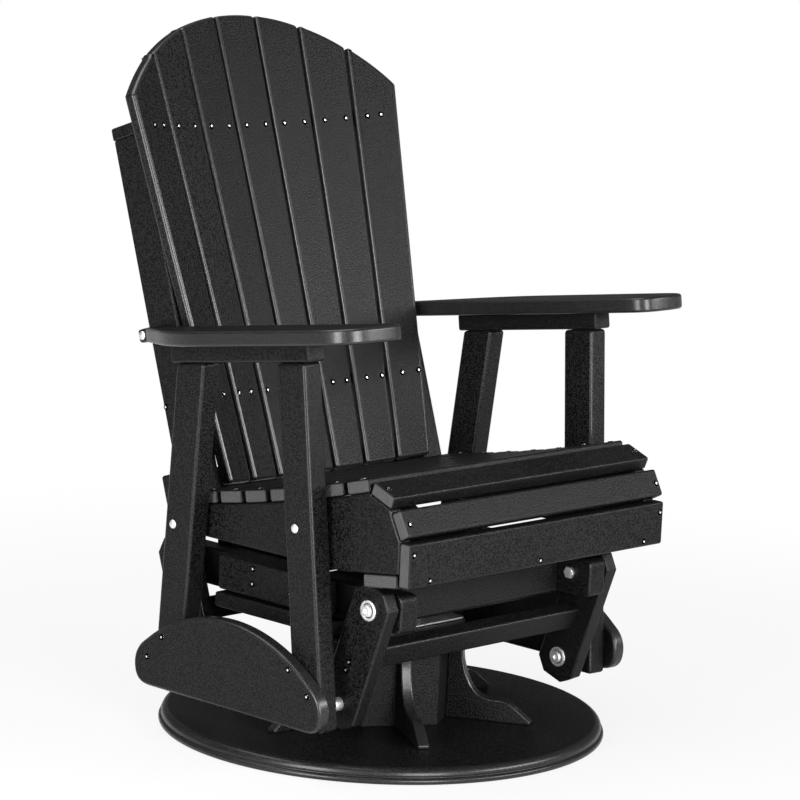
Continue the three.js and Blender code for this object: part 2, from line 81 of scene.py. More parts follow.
class Wiring:
    """A node tree whose new nodes all come from one method."""

    def __init__(self, tree):
        self.tree = tree

    def link(self, socket, value):
        if isinstance(value, Field):
            value = value.socket
        if isinstance(value, bpy.types.NodeSocket):
            self.tree.links.new(value, socket)
        else:
            socket.default_value = value

    def node(self, kind, settings=None, sockets=None):
        made = self.tree.nodes.new(kind)
        for setting, choice in (settings or {}).items():
            setattr(made, setting, choice)
        for socket, value in (sockets or {}).items():
            self.link(made.inputs[socket], value)
        return made

    def value(self, kind, settings=None, sockets=None, output=0):
        return Field(self, self.node(kind, settings, sockets).outputs[output])

    def math(self, operation, first, second):
        return self.value("ShaderNodeMath", {"operation": operation}, {0: first, 1: second})


class Finish(Wiring):
    """A material with a Principled shader."""

    def __init__(self, name, **constants):
        self.material = bpy.data.materials.new(name)
        self.material.use_nodes = True
        super().__init__(self.material.node_tree)
        self.shader = self.tree.nodes["Principled BSDF"]
        for socket, constant in constants.items():
            self.shader.inputs[socket.replace("_", " ")].default_value = constant

    def feed(self, **sockets):
        for socket, value in sockets.items():
            self.link(self.shader.inputs[socket.replace("_", " ")], value)

    def noise(self, place, scale, detail=2.0, roughness=0.5):
        sockets = {"Vector": place, "Scale": scale, "Detail": detail, "Roughness": roughness}
        return self.value("ShaderNodeTexNoise", None, sockets)

    def stretched(self, place, along, across, through):
        scale = {"Vector": place, "Scale": (along, across, through)}
        return self.node("ShaderNodeMapping", None, scale).outputs[0]

    def band(self, field, low, high):
        sockets = {"Value": field, "From Min": low, "From Max": high}
        return self.value("ShaderNodeMapRange", {"interpolation_type": "SMOOTHSTEP"}, sockets)

    def mix(self, factor, first, second):
        sockets = {0: factor, 6: first, 7: second}
        return self.node("ShaderNodeMix", {"data_type": "RGBA"}, sockets).outputs[2]

    def bump(self, height, strength, distance):
        sockets = {"Strength": strength, "Distance": distance, "Height": height}
        return self.node("ShaderNodeBump", None, sockets).outputs[0]


# %% [markdown]
# The lumber is recycled plastic, coloured right through. Its skin is satin, with a fine
# pebble, short streaks along the extrusion and a faint mottle. The streaks have to run
# along each board, whichever way it is turned, so every board carries its own coordinates
# (along, across, through) in an attribute, and the noise is stretched in those. A second
# attribute marks the rounded edges, which the cutter leaves smoother and glossier. There the
# colour is also made paler, partly as the cut edge and partly as a painted highlight.

# %% Black lumber
lumber = Finish("black_lumber", IOR=1.5, Specular_IOR_Level=0.17, Coat_Roughness=0.25)
on_board = lumber.node("ShaderNodeAttribute", {"attribute_name": "board_place"}).outputs["Vector"]
rim = lumber.value("ShaderNodeAttribute", {"attribute_name": "board_rim"}, output=2)
sawn = lumber.value("ShaderNodeAttribute", {"attribute_name": "board_sawn"}, output=2)
streak = lumber.noise(lumber.stretched(on_board, 14.0, 150.0, 150.0), 1.0, 3.0, 0.6)
kerf = lumber.noise(lumber.stretched(on_board, 900.0, 90.0, 700.0), 1.0, 2.0)
mottle = lumber.band(lumber.noise(on_board, 360.0, 2.0, 0.6), 0.34, 0.66)
pebble = lumber.noise(on_board, 560.0, 1.0, 0.5)
cloud = lumber.noise(on_board, 7.0, 1.0)
tone = lumber.band(0.7 * mottle + 0.2 * streak + 0.1 * cloud, 0.25, 0.75)
dark_board = (0.0012, 0.0012, 0.0013, 1.0)
pale_board = (0.0100, 0.0101, 0.0104, 1.0)
# paler colour on the rounded edges: partly the cut edge, partly a painted highlight
pale_edge_and_highlight = (0.020, 0.020, 0.021, 1.0)
sawn_end = (0.070, 0.070, 0.071, 1.0)
body_colour = lumber.mix(0.5 * rim, lumber.mix(tone, dark_board, pale_board), pale_edge_and_highlight)
skin = 0.4 * mottle + 0.5 * pebble + 0.15 * streak + 0.4 * sawn * kerf
lumber.feed(
    Base_Color=lumber.mix(sawn * (0.65 + 0.5 * kerf), body_colour, sawn_end),
    Roughness=0.27 + 0.26 * mottle + 0.06 * streak + 0.2 * sawn,
    Coat_Weight=rim,
    Normal=lumber.bump(skin, 0.5, 0.9 * MM),
)
print("lumber nodes:", len(lumber.tree.nodes))

# %% [markdown]
# The screws and bolts are stainless steel: pale, metallic, with fine turning marks and a
# few duller patches where the driver has slipped. The swivel plates are pressed from
# plated sheet, which is greyer and has a soft cloudy bloom.

# %% Stainless steel and plated sheet
stainless = Finish("stainless_steel", Metallic=1.0)
at = stainless.node("ShaderNodeTexCoord").outputs["Object"]
scratch = stainless.noise(stainless.stretched(at, 300.0, 300.0, 2600.0), 1.0, 2.0)
bloom = stainless.noise(at, 160.0, 2.0)
stainless.feed(
    Base_Color=stainless.mix(bloom, (0.84, 0.84, 0.83, 1.0), (0.96, 0.96, 0.95, 1.0)),
    Roughness=0.38 + 0.18 * scratch + 0.10 * bloom,
    Normal=stainless.bump(scratch, 0.15, 0.2 * MM),
)
plated = Finish("plated_sheet", Metallic=1.0)
at = plated.node("ShaderNodeTexCoord").outputs["Object"]
bloom = plated.noise(at, 45.0, 4.0, 0.6)
rolled = plated.noise(plated.stretched(at, 60.0, 1400.0, 1400.0), 1.0, 2.0)
plated.feed(
    Base_Color=plated.mix(bloom, (0.40, 0.41, 0.42, 1.0), (0.66, 0.66, 0.65, 1.0)),
    Roughness=0.28 + 0.18 * bloom + 0.08 * rolled,
    Normal=plated.bump(rolled, 0.12, 0.3 * MM),
)
print("metal finishes:", stainless.material.name, plated.material.name)

# %% [markdown]
# Every new piece is worked out as arrays of points and faces. The shading normal of each
# point is known from the same formula as the point, so it is stored with the mesh, and a
# rounded edge of a few rows looks as smooth as a fine one.


# %% From arrays to a piece
def put_piece(name, points, quads, triangles, normals, finish, body, fields=None):
    """Makes a mesh of the points, with quads and triangles as rows of point numbers."""
    quads = np.asarray(quads, np.int32).reshape(-1, 4)
    triangles = np.asarray(triangles, np.int32).reshape(-1, 3)
    corners = np.concatenate([quads.ravel(), triangles.ravel()])
    sizes = np.concatenate([np.full(len(quads), 4), np.full(len(triangles), 3)])
    mesh = bpy.data.meshes.new(name)
    mesh.vertices.add(len(points))
    mesh.vertices.foreach_set("co", points.astype(np.float32).ravel())
    mesh.loops.add(len(corners))
    mesh.loops.foreach_set("vertex_index", corners.astype(np.int32))
    mesh.polygons.add(len(sizes))
    starts = np.concatenate([[0], np.cumsum(sizes)[:-1]])
    mesh.polygons.foreach_set("loop_start", starts.astype(np.int32))
    mesh.update(calc_edges=True)
    mesh.polygons.foreach_set("use_smooth", np.ones(len(sizes), bool))
    for field, values in (fields or {}).items():
        kind, part = ("FLOAT_VECTOR", "vector") if values.ndim == 2 else ("FLOAT", "value")
        entry = mesh.attributes.new(field, kind, "POINT")
        entry.data.foreach_set(part, values.astype(np.float32).ravel())
    mesh.normals_split_custom_set_from_vertices(normals.astype(np.float32))
    mesh.materials.append(finish.material)
    piece = bpy.data.objects.new(name, mesh)
    bpy.context.scene.collection.objects.link(piece)
    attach(piece, body)
    return piece


def grid_quads(rows, columns):
    """Quads of a grid of points, row after row, whose columns run round and meet."""
    number = np.arange(rows * columns).reshape(rows, columns)
    beside = np.roll(number, -1, 1)
    return np.stack([number[:-1], beside[:-1], beside[1:], number[1:]], -1).reshape(-1, 4)


print("a grid of 3 rows and 4 columns has", len(grid_quads(3, 4)), "quads")

# %% [markdown]
# A board in the frame is a bundle of triangles. Two faces stand out, because they are the
# largest flat area that faces one way: the two broad faces of the plank. Their direction
# is averaged over all the triangles that share it, so a leaning board is read as well as
# an upright one.


# %% The broad faces of a board
LEVEL = 0.1 * MM  # triangles this close in height are one flat face
SAME_WAY = 0.9999  # cosine above which two triangles lie in one plane or in parallel ones
FACES_OUT = 0.999  # cosine above which a triangle belongs to a broad face
NO_AREA = 1e-12  # square metres


def solid_of(node):
    """Points of a frame node with doubles merged, and its triangles."""
    mesh = nodes[node].data
    mesh.calc_loop_triangles()
    points = np.empty(3 * len(mesh.vertices), np.float32)
    mesh.vertices.foreach_get("co", points)
    corners = np.empty(3 * len(mesh.loop_triangles), np.int32)
    mesh.loop_triangles.foreach_get("vertices", corners)
    rounded = np.round(points.reshape(-1, 3).astype(float), 6)
    merged, number = np.unique(rounded, axis=0, return_inverse=True)
    return merged, number.ravel()[corners].reshape(-1, 3)


def facets(points, triangles):
    """Unit normal and area of each triangle."""
    a, b, c = (points[triangles[:, i]] for i in range(3))
    normal = np.cross(b - a, c - a)
    area = np.linalg.norm(normal, axis=1)
    return normal / np.maximum(area, NO_AREA)[:, None], area / 2


def broad_direction(unit, area):
    """Direction that the largest total area of triangles faces, averaged over that area."""
    alike = unit @ unit.T
    seed = alike[np.argmax((np.abs(alike) > SAME_WAY) @ area)]
    out = (np.sign(seed) * (np.abs(seed) > SAME_WAY) * area) @ unit
    return out / np.linalg.norm(out)


def broad_face(height, facing, area):
    """Height of the largest flat area among the triangles that face one way."""
    levels, number = np.unique(np.round(height[facing], 4), return_inverse=True)
    widest = levels[np.argmax(np.bincount(number.ravel(), area[facing]))]
    near = facing & (np.abs(height - widest) < LEVEL)
    return np.average(height[near], weights=area[near])


print("triangles of an armrest:", len(solid_of("armrest_left")[1]))

# %% [markdown]
# The rim of one broad face is the outline of the board, pulled in a little by the frame's
# own bevel, so the outline is read there and pushed out again until it is as large as the
# board. The longest straight side is the direction in which the plank was extruded.


# %% The outlines of a board
def rims(triangles):
    """Closed loops of point numbers round a patch of triangles: edges used only once."""
    edges = np.concatenate([triangles[:, [0, 1]], triangles[:, [1, 2]], triangles[:, [2, 0]]])
    forward = set(map(tuple, edges))
    follow = {a: b for a, b in forward if (b, a) not in forward}
    loops = []
    while follow:
        start, here = follow.popitem()
        loop = [start]
        while here != start:
            loop.append(here)
            here = follow.pop(here)
        loops.append(loop)
    return loops


def read_board(node, axis=None):
    """Centre, the three directions, the half sizes and the outlines of a board.

    The directions are along the longest straight side, across it, and out of the broad
    face. The outlines are loops of (along, across) points, the outer one first.
    """
    points, triangles = solid_of(node)
    unit, area = facets(points, triangles)
    out = broad_direction(unit, area) if axis is None else np.array(axis, float)
    height = (points @ out)[triangles].mean(1)
    top = broad_face(height, unit @ out > FACES_OUT, area)
    bottom = broad_face(height, unit @ out < -FACES_OUT, area)
    lid = (unit @ out > FACES_OUT) & (np.abs(height - top) < LEVEL)
    loops = [points[loop] for loop in rims(triangles[lid])]
    sides = [np.roll(loop, -1, 0) - loop for loop in loops]
    longest = max((side for group in sides for side in group), key=np.linalg.norm)
    along = longest / np.linalg.norm(longest)
    across = np.cross(out, along)
    turn = np.stack([along, across, out])
    placed = points @ turn.T
    centre = (placed.max(0) + placed.min(0)) / 2
    half = (placed.max(0) - placed.min(0)) / 2
    centre[2], half[2] = (top + bottom) / 2, (top - bottom) / 2
    outlines = [loop @ turn[:2].T - centre[:2] for loop in loops]
    outlines.sort(key=lambda loop: -np.ptp(loop[:, 0]))
    return {"turn": turn, "centre": centre @ turn, "half": half, "outlines": outlines}


print("size of an armrest:", np.round(2 * read_board("armrest_left")["half"] / MM, 1), "mm")

# %% [markdown]
# A corner sawn by hand is never knife sharp. Each corner of an outline becomes an arc that
# touches both sides, and at each point of the arc the outward direction is known exactly.
# The curves of the arms, the back and the gussets come as many short sides, and the same
# arcs join those smoothly.


# %% Rounded outlines
SLIGHT_TURN = np.radians(26)  # a smaller turn is a step of a curve
SWEEP = 320 * MM  # largest radius of such a step
SIDE_SHARE = 0.48  # share of a side that one corner may use up
SQUARE = np.array([[-1, -1], [1, -1], [1, 1], [-1, 1]], float)


def rounded(loop, radius, steps=5):
    """Outline with each corner turned into an arc, and the outward direction at each point.

    With n1 and n2 the outward directions of the sides before and after corner P, the arc's
    centre is P - radius * (n1 + n2) / (1 + n1.n2), and its points are centre + radius * n,
    where n turns evenly from n1 to n2. The radius shrinks where a side is too short, and
    is negative in an inner corner. A slight turn is a step of a curve, not a corner, and
    gets as large a radius as its sides allow.
    """
    side = np.roll(loop, -1, 0) - loop
    length = np.linalg.norm(side, axis=1)
    out = np.stack([side[:, 1], -side[:, 0]], 1) / length[:, None]
    before = np.roll(out, 1, 0)
    across = before[:, 0] * out[:, 1] - before[:, 1] * out[:, 0]
    turn = np.arctan2(across, (before * out).sum(1))
    steepness = np.maximum(np.tan(np.abs(turn) / 2), 1e-6)
    room = SIDE_SHARE * np.minimum(length, np.roll(length, 1)) / steepness
    wanted = np.where(np.abs(turn) < SLIGHT_TURN, SWEEP, radius)
    reach = np.sign(turn) * np.minimum(wanted, room)
    bisector = (before + out) / (1 + (before * out).sum(1))[:, None]
    centre = loop - reach[:, None] * bisector
    start = np.arctan2(before[:, 1], before[:, 0])
    angle = start[:, None] + turn[:, None] * np.linspace(0, 1, steps)
    normal = np.stack([np.cos(angle), np.sin(angle)], -1)
    points = centre[:, None] + reach[:, None, None] * normal
    return points.reshape(-1, 2), normal.reshape(-1, 2)


print("points of a rounded square:", len(rounded(SQUARE, 0.2)[0]))

# %% [markdown]
# Going inwards along the outward direction while going up gives the quarter-round edge, so
# the edge is one formula with two parameters: the place round the outline, and the turn
# from the lower broad face to the upper one. Two flat lids of triangles close the solid.


# %% Rounded edges
def edge_band(loop, radius, corner, half, rows=5):
    """Side of a board: rows from the lower broad face to the upper one.

    At turn t from -90 to 90 degrees, a point is r (1 - cos t) inside the outline and
    r (1 - sin |t|) short of the broad face, and its normal is cos t outwards + sin t up.
    """
    outline, normal = rounded(loop, corner)
    quarter = np.linspace(0, np.pi / 2, rows)
    turn = np.concatenate([-quarter[::-1], quarter])[:, None]
    upper = np.sign(np.arange(2 * rows) - rows + 0.5)[:, None]
    inward = radius * (1 - np.cos(turn))
    flat = outline[None] - inward[..., None] * normal[None]
    height = upper * (half - radius) + radius * np.sin(turn)
    height = np.broadcast_to(height, flat.shape[:2])
    facing = np.concatenate([np.cos(turn)[..., None] * normal[None],
                             np.broadcast_to(np.sin(turn)[..., None], flat.shape[:2] + (1,))], -1)
    sideways = np.broadcast_to(np.cos(turn), flat.shape[:2])
    return np.concatenate([flat, height[..., None]], -1), facing, sideways


def lid_faces(points, rings, way):
    """Triangles between the first ring and the rings inside it, facing up or down."""
    polygons = [[Vector(points[i]) for i in ring] for ring in rings]
    faces = np.concatenate(rings)[np.array(tessellate_polygon(polygons))]
    a, b, c = (points[faces[:, i], :2] for i in range(3))
    area = np.cross(b - a, c - a)
    faces[area * way < 0] = faces[area * way < 0][:, ::-1]
    return faces[np.abs(area) > NO_AREA]


def flat_solid(loops, radii, half):
    """Flat solid with rounded edges: the first loop is its outline, the others are holes.

    The radii are a pair (edge, corner) for each loop. Returns the points, their normals, the
    share cos t of each normal that points sideways, the quads and the triangles.
    """
    points, normals, sideways, quads, lids, first = [], [], [], [], ([], []), 0
    for loop, (edge, corner) in zip(loops, radii):
        place, facing, share = edge_band(loop, edge, corner, half)
        rows, columns = place.shape[:2]
        number = first + np.arange(rows * columns).reshape(rows, columns)
        quads.append(first + grid_quads(rows, columns))
        lids[0].append(number[0])
        lids[1].append(number[-1])
        points.append(place.reshape(-1, 3))
        normals.append(facing.reshape(-1, 3))
        sideways.append(share.reshape(-1))
        first += rows * columns
    points = np.concatenate(points)
    triangles = [lid_faces(points, rings, way) for rings, way in zip(lids, (-1, 1))]
    return (points, np.concatenate(normals), np.concatenate(sideways), np.concatenate(quads),
            np.concatenate(triangles))


print("points of a small tile:", len(flat_solid([SQUARE], [(0.1, 0.2)], 0.2)[0]))

# %% [markdown]
# A board of the chair is such a flat solid, laid in the place of its node. Its grain is
# moved by a random amount, so that no two boards look alike, and the share of a normal that
# points sideways says where the cutter has been. There the edge is glossier, and its colour
# is made paler, partly as a painted highlight.

# %% Cut a board
EDGE = 4 * MM
CORNER = 4.2 * MM
EDGE_SHARE = 0.9  # share of half the thickness that an edge may use up
HOLE_EDGE = 0.5 * MM
# edge shine of a board not listed: its gloss, and a paler edge colour that is in part a painted
# highlight
PLAIN_SHINE = 0.3
GRAIN_SHIFT = 5  # metres by which the grain of one board may be moved against the next
END_FACING, END_BLEND = 0.8, 0.15  # share of a normal along the board where its sawn end begins
boards = {}


def fit_outline(board):
    """Outlines grown until the outer one is as large as the board."""
    half, loops = board["half"], board["outlines"]
    outer = loops[0]
    square = len(outer) == 4 and np.ptp(np.abs(outer), axis=0).max() < 0.2 * LEVEL
    if square:
        return [np.sign(outer) * half[:2]]
    inset = float(np.min(half[:2] - np.ptp(outer, axis=0) / 2))
    outer = outer - (outer.max(0) + outer.min(0)) / 2
    side = np.roll(outer, -1, 0) - outer
    out = np.stack([side[:, 1], -side[:, 0]], 1) / np.linalg.norm(side, axis=1)[:, None]
    before = np.roll(out, 1, 0)
    bisector = (before + out) / (1 + (before * out).sum(1))[:, None]
    return [outer + inset * bisector] + loops[1:]


def circle(place, radius, steps=24):
    """Points round a hole, running the other way from an outline."""
    angle = -2 * np.pi * np.arange(steps) / steps
    return np.stack([place[0] + radius * np.cos(angle), place[1] + radius * np.sin(angle)], 1)


def cut_board(node, body, edge=EDGE, corner=CORNER, axis=None, bores=(), hollow=False,
              sawn=False, shine=PLAIN_SHINE, milled=False):
    """Board of the frame with rounded corners and edges, standing for its node.

    The shine of an edge is 2 cos t sin t at a turn t over the edge, which leaves the side
    of the board plain, or on a board milled all round it is 2 cos t, up to 1. It sets how
    glossy the edge is and how much paler its colour is made, a painted highlight in part.
    """
    board = read_board(node, axis)
    half, turn, centre = board["half"], board["turn"], board["centre"]
    loops = fit_outline(board)[:1] + (board["outlines"][1:] if hollow else [])
    for place, radius in bores:
        loops.append(circle((np.array(place) - centre) @ turn[:2].T, radius))
    edge = min(edge, EDGE_SHARE * half[2])
    radii = [(edge, corner)] + [(min(edge, HOLE_EDGE), HOLE_EDGE)] * (len(loops) - 1)
    points, normals, sideways, quads, triangles = flat_solid(loops, radii, half[2])
    shades = np.minimum(2 * sideways, 1) if milled else 2 * sideways * np.sqrt(1 - sideways ** 2)
    shift = draws.uniform(-GRAIN_SHIFT, GRAIN_SHIFT, 3)
    at_an_end = np.clip((np.abs(normals[:, 0]) - END_FACING) / END_BLEND, 0, 1)
    # board_rim makes the edges glossier and paler; the paler colour is in part a painted highlight
    fields = {"board_place": points + shift, "board_rim": shine * shades,
              "board_sawn": at_an_end * float(sawn)}
    piece = put_piece(node + "_board", points @ turn + centre, quads, triangles, normals @ turn,
                      lumber, body, fields)
    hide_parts(node)
    boards[node] = board
    return piece


print("edges of", EDGE / MM, "mm where nothing else is said")

# %% [markdown]
# Seat frame: legs, skirts, slats, arms and back all swing together, so they ride on one
# body. The stiles of the back are long bars whose section follows the slats in front of
# them, so their outline is read at the end of the bar instead of on a broad face.

# %% Boards of the seat frame
SIDES = (("right", -1), ("left", 1))
ENDS = (("front", -1), ("rear", 1))
RECLINE = np.radians(18.7)
back_up = np.array([0, np.sin(RECLINE), np.cos(RECLINE)])
seat_nodes = [f"seat_slat_{i}" for i in range(1, 10)] + [f"back_slat_{i}" for i in range(1, 8)]
seat_nodes += ["apron", "seat_cross_board", "arm_bar", "foot_bar"]
seat_nodes += ["back_support_upper", "back_support_lower"]
for side, _ in SIDES:
    seat_nodes += [f"leg_front_{side}", f"leg_rear_{side}", f"skirt_{side}", f"seat_side_{side}"]
    seat_nodes += [f"armrest_{side}", f"armrest_cleat_{side}"]
ROUTED = {"armrest": 5 * MM, "skirt": 6 * MM, "back_slat": 7 * MM, "leg_front": 6 * MM,
          "leg_rear": 6 * MM}
# per kind of board, how glossy its edges are and how much paler their colour is made; the paler
# colour is in part a painted highlight
EDGE_SHINE = {"armrest": 0.6, "skirt": 0.7, "back_slat": 1.0, "seat_slat": 0.1, "apron": 0.1,
          "leg_front": 0.4, "leg_rear": 0.4}
FINE_EDGE = 3 * MM
CORNER_OVER_EDGE = 0.3 * MM
BAR_CORNER = 10 * MM
for node in seat_nodes:
    kind = node.rsplit("_", 1)[0]
    sawn = kind == "seat_slat" or node in ("apron", "seat_cross_board")
    edge = ROUTED.get(kind, EDGE)
    corner = BAR_CORNER if node == "arm_bar" else edge + CORNER_OVER_EDGE
    shine = EDGE_SHINE.get(kind, EDGE_SHINE.get(node, PLAIN_SHINE))
    milled = kind in ("armrest", "skirt")
    cut_board(node, "seat_frame", edge, corner, sawn=sawn, shine=shine, milled=milled)
for side, _ in SIDES:
    cut_board(f"back_stile_{side}", "seat_frame", FINE_EDGE, axis=back_up)
print("seat frame:", len(seat_nodes) + 2, "boards")

# %% [markdown]
# The turntable frame and the swing arms are thicker stock with the same edges. A swing arm
# has a bore at each pivot, and the rear lower ones are wide, which gives the four-arm
# linkage the play that it needs. The bores are left open round the bolts.

# %% Boards of the turntable and the swing arms
for node in ("turntable_platform", "rail_right", "rail_left", "side_plate_right",
             "side_plate_left", "cross_beam_front", "cross_beam_rear"):
    cut_board(node, "turntable")
PIVOT_UP = np.array([226.0, 277.5]) * MM
PIVOT_LOW = np.array([169.872, 114.493]) * MM
BORE = 5.5 * MM
WIDE_BORE = 9 * MM
for (end, way), low_bore in zip(ENDS, (BORE, WIDE_BORE)):
    for side, _ in SIDES:
        pairs = ((PIVOT_UP, BORE), (PIVOT_LOW, low_bore))
        bores = [((0, way * pivot[0], pivot[1]), radius) for pivot, radius in pairs]
        cut_board(f"swing_arm_{end}_{side}", f"{end}_swing", bores=bores)
    cut_board(f"stretcher_{end}", f"{end}_swing")
print("pivots:", PIVOT_UP, PIVOT_LOW)

# %% [markdown]
# The base stands on a hexagonal column with six curved gussets, whose thin tips need a
# finer edge. The two swivel plates are sheet steel.

# %% Pedestal
for i in range(1, 7):
    cut_board(f"gusset_{i}", "base", FINE_EDGE, FINE_EDGE + 0.1 * MM, shine=0.8, milled=True)
cut_board("pedestal_top", "base")
cut_board("pedestal_column", "base", 1 * MM, 3 * MM, axis=(0, 0, 1), hollow=True)
print("pedestal done,", len(boards), "boards in all")

# %% [markdown]
# Turned parts share one formula: a profile of (radius, height) points goes once round an
# axis. The profile is taken fine enough for its bends, and where it starts and ends on the
# axis, the rows there shrink to a point and are merged, which closes the poles.


# %% Turning
def turned(profile, steps):
    """Points, normals and faces of a profile [radius, height] turned about +Z.

    A point is (r cos a, r sin a, h). The normal is the profile's own normal turned by a.
    """
    profile = np.asarray(profile, float)
    angle = 2 * np.pi * np.arange(steps) / steps
    slope = np.gradient(profile, axis=0)
    slope /= np.linalg.norm(slope, axis=1)[:, None]
    out, up = slope[:, 1], -slope[:, 0]
    ring = np.stack([np.cos(angle), np.sin(angle)], -1)

    def spun(outwards, upwards):
        level = outwards[:, None, None] * ring
        risen = np.broadcast_to(upwards[:, None, None], level.shape[:2] + (1,))
        return np.concatenate([level, risen], -1).reshape(-1, 3)

    return spun(*profile.T), spun(out, up), grid_quads(len(profile), steps)


def close_poles(points, normals, quads):
    """Merges points that fall together and turns faces with a doubled corner to triangles."""
    kept, first, number = np.unique(np.round(points, 6), axis=0, return_index=True,
                                    return_inverse=True)
    faces = number.ravel()[quads]
    doubled = faces == np.roll(faces, -1, 1)
    broken = doubled.any(1)
    triangles = np.array([face[~gap] for face, gap in zip(faces[broken], doubled[broken])])
    return kept, normals[first], faces[~broken], triangles.reshape(-1, 3)


def arc(centre, radius, start, stop, steps):
    """Points of a profile on an arc between two angles in degrees."""
    angle = np.radians(np.linspace(start, stop, steps))
    return np.stack([centre[0] + radius * np.cos(angle), centre[1] + radius * np.sin(angle)], 1)


print("points of a turned ball:", len(turned(arc((0, 0), 1, -90, 90, 9), 24)[0]))

# %% [markdown]
# The round base is one thick disc with a moulded rim: a bead at the foot, a narrow cove
# above it, and a broad round shoulder that runs into the flat top.

# %% Round base
DISC = 376 * MM
BEAD = 5.5 * MM
COVE = 1.5 * MM
SHOULDER = 12 * MM
INSET = 4 * MM  # how far the shoulder stands back from the bead
DISC_GRAIN = [3.1, 0.7, 0]  # where the disc lies in the grain
# gloss and paler colour of the disc's moulded rim; the paler colour is in part a painted highlight
DISC_SHINE = 0.5
disc_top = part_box("base_disc")[1].z
rim_profile = np.concatenate([
    [[0, 0], [0.20, 0], [DISC - 8 * MM, 0]],
    arc((DISC - BEAD, BEAD), BEAD, -90, 75, 14),
    arc((DISC - 3.6 * MM, 12.2 * MM), COVE, 250, 120, 6),
    arc((DISC - INSET - SHOULDER, disc_top - SHOULDER), SHOULDER, 0, 90, 14),
    [[DISC - 20 * MM, disc_top], [0.30, disc_top], [0.15, disc_top], [0, disc_top]],
])
points, normals, quads = turned(rim_profile, 160)
points, normals, quads, triangles = close_poles(points, normals, quads)
flat = np.hypot(points[:, 0], points[:, 1]) < DISC - 7.5 * MM
flat &= np.minimum(points[:, 2], disc_top - points[:, 2]) < 0.1 * LEVEL
normals[flat] = np.sign(points[flat, 2:] - BEAD) * [0, 0, 1]
fields = {"board_place": points + DISC_GRAIN, "board_rim": np.where(flat, 0.0, DISC_SHINE),
          "board_sawn": np.zeros(len(points))}
disc = put_piece("base_disc_turned", points, quads, triangles, normals, lumber, "base",
                 fields)
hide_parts("base_disc")
print("disc:", len(points), "points, top at", round(disc_top, 4))

# %% [markdown]
# Screws are small pan heads with a driver recess. One head is a grid of rings: its height
# is a low dome, minus a four-armed recess in the middle. All the heads of a row of boards
# are one piece: the same grid, turned and moved to each place as one array sum.


# %% Screw heads
def head_grid(radius, height, recess, rings=7, steps=20):
    """Height of a pan head over (ring, angle): a flat dome with a rounded shoulder, less a
    recess with four arms, whose width is a waist plus a share of |cos 2a| cubed."""
    waist, arms, slope = 0.16, 0.24, 0.18
    share = np.sqrt(np.linspace(0, 1, rings))[:, None]
    angle = 2 * np.pi * np.arange(steps)[None] / steps
    dome = height * np.sqrt(np.clip(1 - share ** 4, 0, 1))
    width = waist + arms * np.abs(np.cos(2 * angle)) ** 3
    dip = recess * np.clip((width - share) / slope, 0, 1)
    r = radius * np.broadcast_to(share, dip.shape)
    return np.stack([r * np.cos(angle), r * np.sin(angle), dome - dip], -1)


SUNK = 1.5 * MM  # length of a screw's head below the face of its board
SOFT_RIM = 0.2  # how far the shading leans outwards at the rim of a head
UPRIGHT = 0.8  # a screw that points up more than this takes its sides from X, not Z


def put_screws(name, rows, body, radius=5.2 * MM, height=1.4 * MM, recess=0.5 * MM):
    """Heads at all the places of the rows (places, directions), as one piece.

    Each head stands out along its direction and is turned at random.
    """
    places, out = (np.concatenate(part) for part in zip(*rows))
    out = out / np.linalg.norm(out, axis=1)[:, None]
    helper = np.where(np.abs(out[:, 2:]) > UPRIGHT, [[1.0, 0, 0]], [[0, 0, 1.0]])
    side = np.cross(helper, out)
    side /= np.linalg.norm(side, axis=1)[:, None]
    up = np.cross(out, side)
    spin = draws.uniform(0, np.pi / 2, len(places))[:, None]
    cos, sin = np.cos(spin), np.sin(spin)
    basis = np.stack([cos * side + sin * up, cos * up - sin * side, out], 1)
    head = head_grid(radius, height, recess)
    rings, steps = head.shape[:2]
    below = np.concatenate([head, head[-1:] - [0, 0, SUNK]])[1:]
    local = np.concatenate([head[:1, 0], below.reshape(-1, 3)])
    world = places[:, None] + np.einsum("pi,nij->npj", local, basis)
    count = len(local)
    band = 1 + grid_quads(rings, steps)[:, ::-1]
    ring = 1 + np.arange(steps)
    cap = np.stack([np.zeros(steps, int), ring, np.roll(ring, -1)], 1)
    foot = ring + (rings - 1) * steps
    lid = np.stack([np.full(steps - 2, foot[0]), foot[2:], foot[1:-1]], 1)
    offset = (count * np.arange(len(places)))[:, None, None]
    quads = (band[None] + offset).reshape(-1, 4)[:, ::-1]
    triangles = (np.concatenate([cap, lid])[None] + offset).reshape(-1, 3)
    face = np.concatenate([SOFT_RIM * (local[:, :2] / radius) ** 3, np.ones((count, 1))], 1)
    face /= np.linalg.norm(face, axis=1)[:, None]
    normals = np.einsum("pi,nij->npj", face, basis)
    print(f"{name}: {len(places)}")
    return put_piece(name, world.reshape(-1, 3), quads, triangles, normals.reshape(-1, 3),
                     stainless, body)


def onto(node, places, direction):
    """Where lines along a direction meet the broad face of a board that looks that way."""
    board = boards[node]
    out, half = board["turn"][2], board["half"][2]
    direction = np.array(direction, float)
    out = out * np.sign(out @ direction)
    face = board["centre"] + out * half
    places = np.atleast_2d(places)
    distance = ((face - places) @ out) / (direction @ out)
    return places + distance[:, None] * direction, np.broadcast_to(out, places.shape)


print("rings and steps of a screw head:", head_grid(1, 1, 0).shape[:2])

# %% [markdown]
# Where the screws go. Two screws hold each slat of the back to each support, one at each
# end of a seat slat goes down into the seat side, and the skirts and the front board have
# their own. A place is given in millimetres where it is measured, and a line is dropped
# from there onto the face of the board, so a head always sits on its board.

